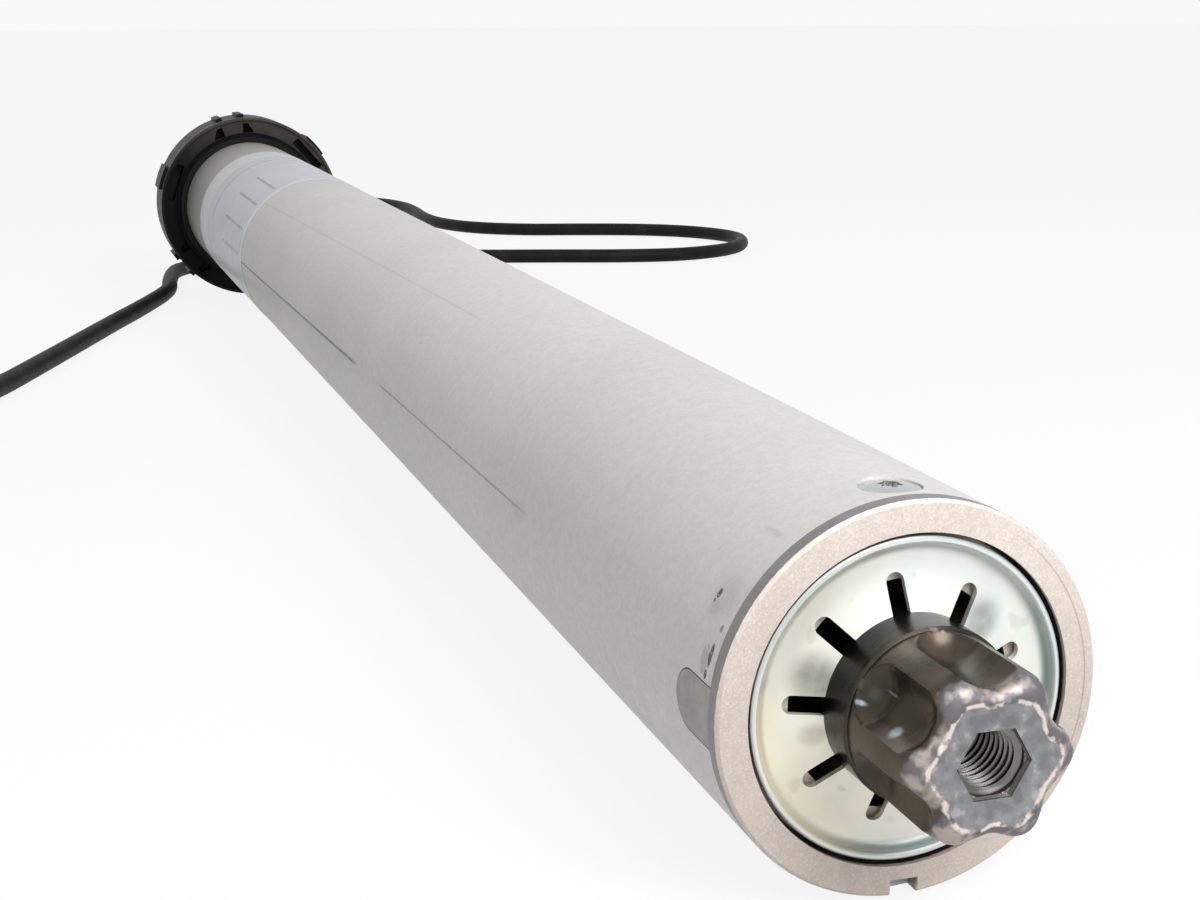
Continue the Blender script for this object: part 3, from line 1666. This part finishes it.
    def _strands(self, obj: bpy.types.Object, start: Vector, stop: Vector) -> None:
        """Twists bare strands round a middle one, along a wire's end.

        Args:
            obj: The curve object that takes them.
            start: Where the strands leave the cover.
            stop: Where they end.
        """
        ahead = (stop - start).normalized()
        side = ahead.cross(Vector((0.0, 0.0, 1.0))).normalized()
        up = side.cross(ahead)
        for strand in range(self.strands + 1):
            out = 0.0 if strand == self.strands else self.tip_r * (1 - self.strand_share)
            points = []
            for k in range(self.wire_steps + 1):
                m = k / self.wire_steps
                angle = math.tau * strand / self.strands + self.strand_twist * m
                spoke = math.cos(angle) * side + math.sin(angle) * up
                points.append(start.lerp(stop, m) + out * spoke)
            self._spline(obj, points)

    def _tie(self) -> bpy.types.Object:
        """Bends the flat tie round the coil's runs.

        Returns:
            The tie.
        """
        passes = [self.tie_pass + 360.0 * k for k in range(int(self.coil_end / 360.0))]
        room = self.radius + self.tie_gap + self.tie_t
        r0 = min(self.coil_radius(turn) for turn in passes) - room
        r1 = self.coil_r + room
        z0 = self.lift - room
        z1 = self.lift + self.pitch + room
        bm = bmesh.new()
        bmesh.ops.create_cube(bm, size=1.0)
        bmesh.ops.scale(bm, vec=(r1 - r0, self.tie_w, z1 - z0), verts=bm.verts)
        ends = [face for face in bm.faces if abs(face.normal.y) > 0.5]
        bmesh.ops.delete(bm, geom=ends, context="FACES_ONLY")
        folds = [e for e in bm.edges if abs((e.verts[0].co - e.verts[1].co).normalized().y) > 0.9]
        round_off(bm, folds, self.tie_fold, 6)
        bmesh.ops.recalc_face_normals(bm, faces=bm.faces)
        bmesh.ops.solidify(bm, geom=bm.faces[:], thickness=self.tie_t)
        rims = [e for e in bm.edges if e.calc_face_angle(0.0) > 1.2]
        round_off(bm, rims, self.tie_rim, 2)
        x, y = self.centre
        middle = (r0 + r1) / 2
        level = self.table.height(x + middle * math.cos(self.tie_turn)) + (z0 + z1) / 2
        bmesh.ops.translate(bm, vec=(middle, 0.0, 0.0), verts=bm.verts)
        swing(bm, bm.verts, self.tie_turn, "Z")
        bmesh.ops.translate(bm, vec=(x, y, level), verts=bm.verts)
        return close_mesh(bm, "lead_tie")


@dataclass
class OutputShaft:
    """Fluted output shaft with a worn lobed tip, a hexagon socket and a drive hexagon."""

    collar_r: float = 13.28 * MM
    lobe_r: float = 12.8 * MM
    collar_x: float = 711.5 * MM
    tip_x: float = 730.0 * MM
    flutes: int = 6
    flute_r: float = 5.5 * MM
    flute_root: float = 9.6 * MM
    flute_x: tuple[float, float] = (716.9 * MM, 725.8 * MM)
    tip_x_from: tuple[float, float] = (725.4 * MM, 728.0 * MM)
    tip_mean: float = 11.4 * MM
    tip_wave: float = 1.15 * MM
    face_mean: float = 9.1 * MM
    face_wave: float = 0.65 * MM
    shoulder: float = 2.0 * MM
    bow: float = 0.9
    dent: float = 0.16 * MM
    dent_waves: float = 420.0
    dent_x: tuple[float, float] = (725.5 * MM, 728.5 * MM)
    soft: float = 0.07 * MM
    step: float = 0.3 * MM
    shoulder_steps: int = 8
    lip_w: float = 0.5 * MM
    lip_drop: float = 0.15 * MM
    dish: float = 0.5 * MM
    edge: float = 0.2 * MM
    socket_af: float = 9.5 * MM
    socket_deep: float = 1.6 * MM
    sink: tuple[float, float] = (0.1 * MM, 0.6 * MM)
    sink_w: float = 0.05 * MM
    thread_r: float = 5.0 * MM
    thread_deep: float = 28.0 * MM
    drive_af: float = 18.0 * MM
    drive_len: float = 19.0 * MM
    sides: int = 240

    def _hexagon(self, turn: float, across: float) -> float:
        """Radius of a hexagon's outline at an angle."""
        return across / 2 / math.cos(turn % (math.pi / 3) - math.pi / 6)

    def _blend(self, first: float, second: float) -> float:
        """Takes the smaller of two radii with a softly rounded change.

        Args:
            first: One radius.
            second: The other radius.

        Returns:
            The blended radius.
        """
        low = min(first, second)
        return low - self.soft * math.log(
            math.exp((low - first) / self.soft) + math.exp((low - second) / self.soft)
        )

    @staticmethod
    def _ease(value: float, low: float, high: float) -> float:
        """Rises smoothly from 0 at low to 1 at high."""
        t = min(1.0, max(0.0, (value - low) / (high - low)))
        return t * t * (3 - 2 * t)

    def outline(self, turn: float, x: float) -> float:
        """Gives the shaft's outer radius.

        Args:
            turn: Angle round the axis.
            x: Place along the axis.

        Returns:
            The radius.
        """
        if x <= self.collar_x:
            return self.collar_r
        wave = math.cos(self.flutes * turn)
        lobed = self.tip_mean - self.tip_wave * wave
        body = self.lobe_r + (lobed - self.lobe_r) * self._ease(x, *self.tip_x_from)
        step = math.tau / self.flutes
        away = (turn + step / 2) % step - step / 2
        middle = self.flute_root + self.flute_r
        past = max(0.0, self.flute_x[0] - x, x - self.flute_x[1])
        cut = self.flute_r ** 2 - past ** 2 - (middle * math.sin(away)) ** 2
        if cut > 0.0:
            body = self._blend(body, middle * math.cos(away) - math.sqrt(cut))
        down = max(0.0, x - self.tip_x + self.shoulder) / self.shoulder
        face = self.face_mean - self.face_wave * wave
        drop = 1 - math.sqrt(max(0.0, 1 - (self.bow * down) ** 2))
        radius = body + (face - body) * drop / (1 - math.sqrt(1 - self.bow ** 2))
        place = Vector((x, math.sin(turn) * radius, math.cos(turn) * radius))
        dent = self.dent * self._ease(x, *self.dent_x)
        return radius + dent * noise.noise(place * self.dent_waves)

    def stations(self) -> list[float]:
        """Lists the places along the shaft where its outline is set.

        Returns:
            The places, from the collar to the tip.
        """
        first, last = self.collar_x + self.edge, self.tip_x - self.shoulder
        count = math.ceil((last - self.edge - first) / self.step)
        flute = [first + self.step * k for k in range(count)]
        tip = [
            last + self.shoulder * k / self.shoulder_steps for k in range(self.shoulder_steps + 1)
        ]
        return [self.collar_x] + flute + tip

    def mouth(self) -> list[tuple[float, Callable[[float], float]]]:
        """Lists the rings from the tip's lip through the socket and down the threaded hole.

        Returns:
            Each ring's place along the axis, and its radius for each angle.
        """
        floor = self.tip_x - self.socket_deep
        wide, plain = (
            lambda turn, across=across: self._hexagon(turn + math.pi / 6, across)
            for across in (self.socket_af + self.edge, self.socket_af)
        )
        return [
            (self.tip_x - self.lip_drop, lambda turn: self.outline(turn, self.tip_x) - self.lip_w),
            (self.tip_x - self.dish, wide),
            (self.tip_x - self.dish - self.edge, plain),
            (floor, plain),
            (floor - self.sink[0], lambda turn: self.thread_r + self.sink_w),
            (floor - self.sink[1], lambda turn: self.thread_r),
            (self.tip_x - self.thread_deep, lambda turn: self.thread_r),
        ]

    @staticmethod
    def _grow(
        bm: bmesh.types.BMesh,
        ring: list[bmesh.types.BMEdge],
        x: float,
        radius: Callable[[float], float],
    ) -> list[bmesh.types.BMEdge]:
        """Extrudes a ring of edges to a new place and outline.

        Args:
            bm: The bmesh under way.
            ring: The ring's edges.
            x: The new ring's place along the axis.
            radius: The new ring's radius for each angle.

        Returns:
            The new ring's edges.
        """
        grown = bmesh.ops.extrude_edge_only(bm, edges=ring)["geom"]
        for vert in (part for part in grown if isinstance(part, bmesh.types.BMVert)):
            turn = math.atan2(vert.co.y, vert.co.z)
            reach = radius(turn)
            vert.co = (x, reach * math.sin(turn), reach * math.cos(turn))
        return [part for part in grown if isinstance(part, bmesh.types.BMEdge)]

    def build(self, wardrobe: Wardrobe) -> list[bpy.types.Object]:
        """Args:
            wardrobe: The finishes.

        Returns:
            The new piece.
        """
        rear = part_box("output_shaft")[0][0]
        drive = rear + self.drive_len
        bm = bmesh.new()
        bmesh.ops.create_circle(bm, cap_ends=False, radius=self.collar_r, segments=self.sides)
        swing(bm, bm.verts, math.pi / 2, "Y")
        bmesh.ops.translate(bm, vec=(drive, 0, 0), verts=bm.verts)
        start = ring = bm.edges[:]
        for x in (drive, rear):
            ring = self._grow(bm, ring, x, lambda turn: self._hexagon(turn, self.drive_af))
        bmesh.ops.contextual_create(bm, geom=ring)
        ring = start
        for x in self.stations():
            ring = self._grow(bm, ring, x, lambda turn, x=x: self.outline(turn, x))
        for x, radius in self.mouth():
            ring = self._grow(bm, ring, x, radius)
        bmesh.ops.contextual_create(bm, geom=ring)
        piece = close_mesh(bm, "fluted_shaft", 40.0)
        wardrobe.dress(piece, FINISHES[Slot.DARK_STEEL])
        declare(piece, "output", Slot.DARK_STEEL, "output_shaft")
        return [piece]


@dataclass
class ShaftThread:
    """Screw thread in the output shaft's hole."""

    wall_r: float = 5.0 * MM
    crest_r: float = 4.1 * MM
    pitch: float = 1.25 * MM
    start_x: float = 702.6 * MM
    stop_x: float = 727.6 * MM
    foot_share: float = 0.44
    crest_share: float = 0.07
    tuck: float = 0.03 * MM
    steps: int = 40

    def build(self, wardrobe: Wardrobe) -> list[bpy.types.Object]:
        """Winds one ridge into the hole.

        Args:
            wardrobe: The finishes.

        Returns:
            The new piece.
        """
        turns = (self.stop_x - self.start_x) / self.pitch
        count = int(turns * self.steps)
        half, flat = self.pitch * self.foot_share, self.pitch * self.crest_share
        foot = self.wall_r + self.tuck
        bm = bmesh.new()
        corners = [(-half, foot), (-flat, self.crest_r), (flat, self.crest_r), (half, foot)]
        verts = [bm.verts.new((self.start_x + x, 0.0, r)) for x, r in corners]
        profile = bm.faces.new(verts)
        bmesh.ops.spin(
            bm, geom=[profile], cent=(0, 0, 0), axis=(1, 0, 0),
            dvec=(self.pitch / self.steps, 0, 0), angle=math.tau * count / self.steps, steps=count,
        )
        piece = close_mesh(bm, "shaft_thread", 50.0)
        wardrobe.dress(piece, CUT_THREAD)
        declare(piece, "output", Slot.DARK_STEEL)
        return [piece]


@dataclass
class SlottedDish:
    """Stamped retaining dish: a slotted cone that flows into a flat and a turned-up rim."""

    hole_r: float = 13.28 * MM
    cone_r: float = 18.6 * MM
    rise: float = 1.7 * MM
    flow: float = 0.9 * MM
    rim_r: float = 24.5 * MM
    bend_r: float = 1.8 * MM
    thick: float = 1.0 * MM
    slots: int = 9
    slot_w: float = 2.8 * MM
    slot_r: tuple[float, float] = (9.0 * MM, 19.1 * MM)
    slot_phase: float = -6.9
    flat_steps: int = 28
    bend_steps: int = 9
    sides: int = 216

    def _lift(self, r: float) -> float:
        """Height of the sheet over its flat at a radius."""
        slope = self.rise / (self.cone_r - self.hole_r)
        return slope * self.flow * math.log1p(math.exp((self.cone_r - r) / self.flow))

    def _side(self, level: float, round_r: float) -> list[tuple[float, float]]:
        """Lists one side of the sheet, from the hole to the rim.

        Args:
            level: Place of the side's flat along the axis.
            round_r: Radius of its bend.

        Returns:
            Places along and away from the axis.
        """
        bend = self.rim_r - self.thick - self.bend_r
        wide = bend - self.hole_r
        radii = [self.hole_r + wide * k / self.flat_steps for k in range(self.flat_steps)]
        turns = [math.radians(90.0 * k / self.bend_steps) for k in range(self.bend_steps + 1)]
        return [(level + self._lift(r), r) for r in radii] + [
            (level + round_r * (1 - math.cos(a)), bend + round_r * math.sin(a)) for a in turns
        ]

    def profile(self, back: float, lip: float) -> list[tuple[float, float]]:
        """Lists the sheet's section, round its front and then its back.

        Args:
            back: Place of the flat's rear side along the axis.
            lip: Place of the rim's edge.

        Returns:
            Places along and away from the axis.
        """
        fore = self._side(back + self.thick, self.bend_r)
        edge = [(lip, self.rim_r - share * self.thick) for share in (0.75, 0.25)]
        aft = self._side(back, self.bend_r + self.thick)
        return fore + edge + aft[::-1]

    def _cutter(self, back: float, lip: float) -> bpy.types.Object:
        """Makes the round-ended bars that cut the slots.

        Args:
            back: Where the bars start along the axis.
            lip: Where they end.

        Returns:
            The bars as one object.
        """
        bm = bmesh.new()
        start, reach = self.slot_r
        for k in range(self.slots):
            bar = bmesh.ops.create_cube(bm, size=1.0)["verts"]
            bmesh.ops.scale(bm, vec=(lip - back + 2 * MM, self.slot_w, reach - start), verts=bar)
            bmesh.ops.translate(bm, vec=((back + lip) / 2, 0, (start + reach) / 2), verts=bar)
            edges = {edge for vert in bar for edge in vert.link_edges}
            ends = [e for e in edges if all(v.co.z > reach - MM for v in e.verts)]
            ends = [e for e in ends if abs(e.verts[0].co.y - e.verts[1].co.y) < 1e-6]
            round_end = round_off(bm, ends, self.slot_w * 0.499, 10)
            bar = {vert for vert in bar if vert.is_valid} | set(round_end)
            swing(bm, bar, -math.radians(self.slot_phase + 360.0 * k / self.slots), "X")
        return close_mesh(bm, "slot_bars")

    def build(self, wardrobe: Wardrobe) -> list[bpy.types.Object]:
        """Args:
            wardrobe: The finishes.

        Returns:
            The new piece.
        """
        low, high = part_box("retaining_plate")
        bm = bmesh.new()
        verts = [bm.verts.new((x, 0.0, r)) for x, r in self.profile(low[0], high[0])]
        edges = [bm.edges.new(pair) for pair in zip(verts, verts[1:] + verts[:1])]
        bmesh.ops.spin(
            bm, geom=verts + edges, cent=(0, 0, 0), axis=(1, 0, 0), angle=math.tau,
            steps=self.sides, use_merge=True,
        )
        blank = close_mesh(bm, "dish_blank")
        piece = cut_away(blank, self._cutter(low[0], high[0]), "slotted_dish")
        wardrobe.dress(piece, FINISHES[Slot.PLATED_SHEET])
        declare(piece, "output", Slot.PLATED_SHEET, "retaining_plate")
        return [piece]


@dataclass
class WindowedCrown:
    """Crown whose small face windows widen towards the tube, away from each pair's middle."""

    node: bpy.types.Object
    phase: float = -10.5
    thirds: int = 3
    window_turn: float = 9.5
    window_w: float = 3.0 * MM
    window_r: tuple[float, float] = (34.3 * MM, 38.7 * MM)
    window_x: tuple[float, float] = (27.0 * MM, 37.0 * MM)
    foot: float = 2.4 * MM
    shoulder: float = 0.5 * MM

    def _cutter(self) -> bpy.types.Object:
        """Makes the wedges that open the windows, two for each third of the crown.

        Returns:
            The wedges as one object.
        """
        bm = bmesh.new()
        (back, front), (low, high) = self.window_x, self.window_r
        for k, side in ((k, side) for k in range(self.thirds) for side in (-1, 1)):
            wedge = bmesh.ops.create_cube(bm, size=1.0)["verts"]
            bmesh.ops.scale(bm, vec=(front - back, self.window_w, high - low), verts=wedge)
            bmesh.ops.translate(bm, vec=((back + front) / 2, 0, (low + high) / 2), verts=wedge)
            for vert in wedge:
                inner = vert.co.z < (low + high) / 2
                if vert.co.y * side > 0:
                    vert.co.y += side * (self.foot if inner else -self.shoulder)
            turn = math.radians(self.phase + 360.0 * k / self.thirds + side * self.window_turn)
            swing(bm, wedge, -turn, "X")
        return close_mesh(bm, "window_wedges")

    def build(self, wardrobe: Wardrobe) -> list[bpy.types.Object]:
        """Args:
            wardrobe: The finishes.

        Returns:
            The new piece.
        """
        bm = bmesh.new()
        bm.from_mesh(self.node.data)
        piece = cut_away(close_mesh(bm, "crown_blank"), self._cutter(), "windowed_crown")
        wardrobe.dress(piece, OWN_FINISHES["crown"])
        declare(piece, "crown", Slot.BLACK_PLASTIC, "crown")
        return [piece]


@dataclass
class LabelBand:
    """Blank foil band that is stuck round the tube near the crown."""

    tube_r: float = 30.0 * MM
    thick: float = 0.12 * MM
    glue: float = 0.02 * MM
    start_x: float = 94.0 * MM
    stop_x: float = 224.0 * MM
    first_deg: float = -150.0
    wrap_deg: float = 210.0
    steps: int = 70

    def build(self, wardrobe: Wardrobe) -> list[bpy.types.Object]:
        """Bends the band round the tube.

        Args:
            wardrobe: The finishes.

        Returns:
            The new piece.
        """
        low, high = self.tube_r + self.glue, self.tube_r + self.thick
        first, last = self.start_x, self.stop_x
        bm = bmesh.new()
        corners = [(first, low), (last, low), (last, high), (first, high)]
        section = bm.faces.new([bm.verts.new((x, 0.0, r)) for x, r in corners])
        swing(bm, bm.verts, math.radians(-self.first_deg), "X")
        bmesh.ops.spin(
            bm, geom=[section], cent=(0, 0, 0), axis=(-1, 0, 0),
            angle=math.radians(self.wrap_deg), steps=self.steps,
        )
        piece = close_mesh(bm, "label_band")
        wardrobe.dress(piece, LabelFoil("label_foil"))
        declare(piece, "housing", Slot.TUBE_PAINT)
        return [piece]


@dataclass(frozen=True)
class PhotoView:
    """The camera at the photograph's place and angle."""

    place: tuple[float, float, float] = (0.931656, -0.120826, 0.098621)
    right: tuple[float, float, float] = (0.311782, 0.950154, 0.0)
    up: tuple[float, float, float] = (-0.225228, 0.073906, 0.971499)
    ahead: tuple[float, float, float] = (-0.923073, 0.302896, -0.237044)
    lens: float = 56.39
    sensor: float = 36.0
    nearest: float = 0.01

    def build(self) -> bpy.types.Object:
        """Places the camera and makes it the scene's.

        Returns:
            The camera.
        """
        data = bpy.data.cameras.new("photo_view")
        data.lens = self.lens
        data.sensor_width = self.sensor
        data.clip_start = self.nearest
        camera = put_in_scene("photo_view", data)
        columns = (Vector(self.right), Vector(self.up), -Vector(self.ahead), Vector(self.place))
        rows = [[column[row] for column in columns] for row in range(3)]
        camera.matrix_world = Matrix(rows + [[0, 0, 0, 1]])
        bpy.context.scene.camera = camera
        return camera


@dataclass
class Lamp:
    """One soft lamp: where it hangs, what it looks at, its size and its power."""

    name: str
    place: tuple[float, float, float]
    target: tuple[float, float, float]
    size: float
    power: float


@dataclass
class Studio:
    """Pale floor, white surroundings and soft lamps."""

    table: Table
    floor_colour: Colour = tone(196, 196, 196)
    floor_rough: float = 0.9
    floor_shine: float = 0.1
    floor_half: float = 60.0
    floor_gap: float = 0.0002
    glow: float = 1.15
    glow_share: float = 0.75
    sky: float = 0.34
    sky_tint: Colour = (0.97, 0.985, 1.0, 1.0)
    backdrop: float = 0.94
    lamps: tuple[Lamp, ...] = (
        Lamp("key_lamp", (1.50, 0.25, 0.85), (0.65, 0.0, 0.0), 0.8, 14.5),
        Lamp("side_lamp", (1.20, -0.95, 0.60), (0.60, 0.0, 0.0), 0.8, 1.5),
    )

    def build(self) -> None:
        """Lays the floor, lights the world and hangs the lamps."""
        bpy.context.scene.view_settings.view_transform = "Standard"
        self._floor()
        self._world()
        for lamp in self.lamps:
            self._hang(lamp)

    def _floor(self) -> None:
        """Lays a wide pale floor on the table's plane."""
        bm = bmesh.new()
        bmesh.ops.create_grid(bm, x_segments=1, y_segments=1, size=self.floor_half)
        swing(bm, bm.verts, -math.atan(self.table.slope), "Y")
        level = self.table.height(0.0) - self.floor_gap
        bmesh.ops.translate(bm, vec=(0, 0, level), verts=bm.verts)
        floor = close_mesh(bm, "floor")
        material = bpy.data.materials.new("pale_floor")
        material.use_nodes = True
        g = Graph(material.node_tree)
        shader = material.node_tree.nodes["Principled BSDF"]
        shader.inputs["Base Color"].default_value = self.floor_colour
        shader.inputs["Roughness"].default_value = self.floor_rough
        shader.inputs["Specular IOR Level"].default_value = self.floor_shine
        glow = g.add("ShaderNodeEmission")
        glow.inputs["Strength"].default_value = self.glow
        mix = g.add("ShaderNodeMixShader")
        g.feed(mix.inputs[0], g.both(self._seen(g), self.glow_share))
        g.feed(mix.inputs[1], shader.outputs[0])
        g.feed(mix.inputs[2], glow.outputs[0])
        g.feed(material.node_tree.nodes["Material Output"].inputs["Surface"], mix.outputs[0])
        floor.data.materials.append(material)

    @staticmethod
    def _seen(g: Graph) -> bpy.types.NodeSocket:
        """Masks the rays that show the background itself.

        Args:
            g: The graph that takes the nodes.

        Returns:
            1 for camera, glossy and transmission rays.
        """
        path = g.add("ShaderNodeLightPath").outputs
        return g.either(path["Is Camera Ray"], path["Is Glossy Ray"], path["Is Transmission Ray"])

    def _world(self) -> None:
        """Makes the world white to look at and soft as a light."""
        world = bpy.data.worlds.new("studio")
        world.use_nodes = True
        bpy.context.scene.world = world
        g = Graph(world.node_tree)
        light = world.node_tree.nodes["Background"]
        light.inputs["Color"].default_value = self.sky_tint
        light.inputs["Strength"].default_value = self.sky
        white = g.add("ShaderNodeBackground")
        white.inputs["Color"].default_value = (1.0, 1.0, 1.0, 1.0)
        white.inputs["Strength"].default_value = self.backdrop
        mix = g.add("ShaderNodeMixShader")
        g.feed(mix.inputs[0], self._seen(g))
        g.feed(mix.inputs[1], light.outputs[0])
        g.feed(mix.inputs[2], white.outputs[0])
        g.feed(world.node_tree.nodes["World Output"].inputs["Surface"], mix.outputs[0])

    @staticmethod
    def _hang(lamp: Lamp) -> None:
        """Hangs one lamp.

        Args:
            lamp: The lamp.
        """
        data = bpy.data.lights.new(lamp.name, "AREA")
        data.size = lamp.size
        data.energy = lamp.power
        turn = (Vector(lamp.target) - Vector(lamp.place)).to_track_quat("-Z", "Y")
        obj = put_in_scene(lamp.name, data)
        obj.matrix_world = Matrix.Translation(lamp.place) @ turn.to_matrix().to_4x4()


def dress_frame(frame: dict, wardrobe: Wardrobe) -> None:
    """Gives every node of the frame the finish of its material slot.

    Args:
        frame: The loaded frame.
        wardrobe: The finishes.
    """
    slots = {part["node"]: Slot(part["material_slot"]) for part in frame["record"]["subparts"]}
    for name, node in frame["nodes"].items():
        wardrobe.dress(node, OWN_FINISHES.get(name, FINISHES[slots[name]]))
    LOG.info("dressed %d nodes of the frame", len(frame["nodes"]))


def main() -> None:
    """Loads the frame, dresses it and builds the new pieces, the studio and the camera."""
    logging.basicConfig(level=logging.INFO, format="%(name)s: %(message)s")
    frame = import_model()
    table = Table()
    wardrobe = Wardrobe()
    PhotoView().build()
    Studio(table).build()
    dress_frame(frame, wardrobe)
    pieces = Lead(table).build(wardrobe, frame["nodes"]["cable_gland"])
    crown = WindowedCrown(frame["nodes"]["crown"])
    for part in (OutputShaft(), ShaftThread(), SlottedDish(), crown, LabelBand()):
        pieces += part.build(wardrobe)
    for piece in pieces:
        LOG.info("built %s", piece.name)


if __name__ == "__main__":
    main()
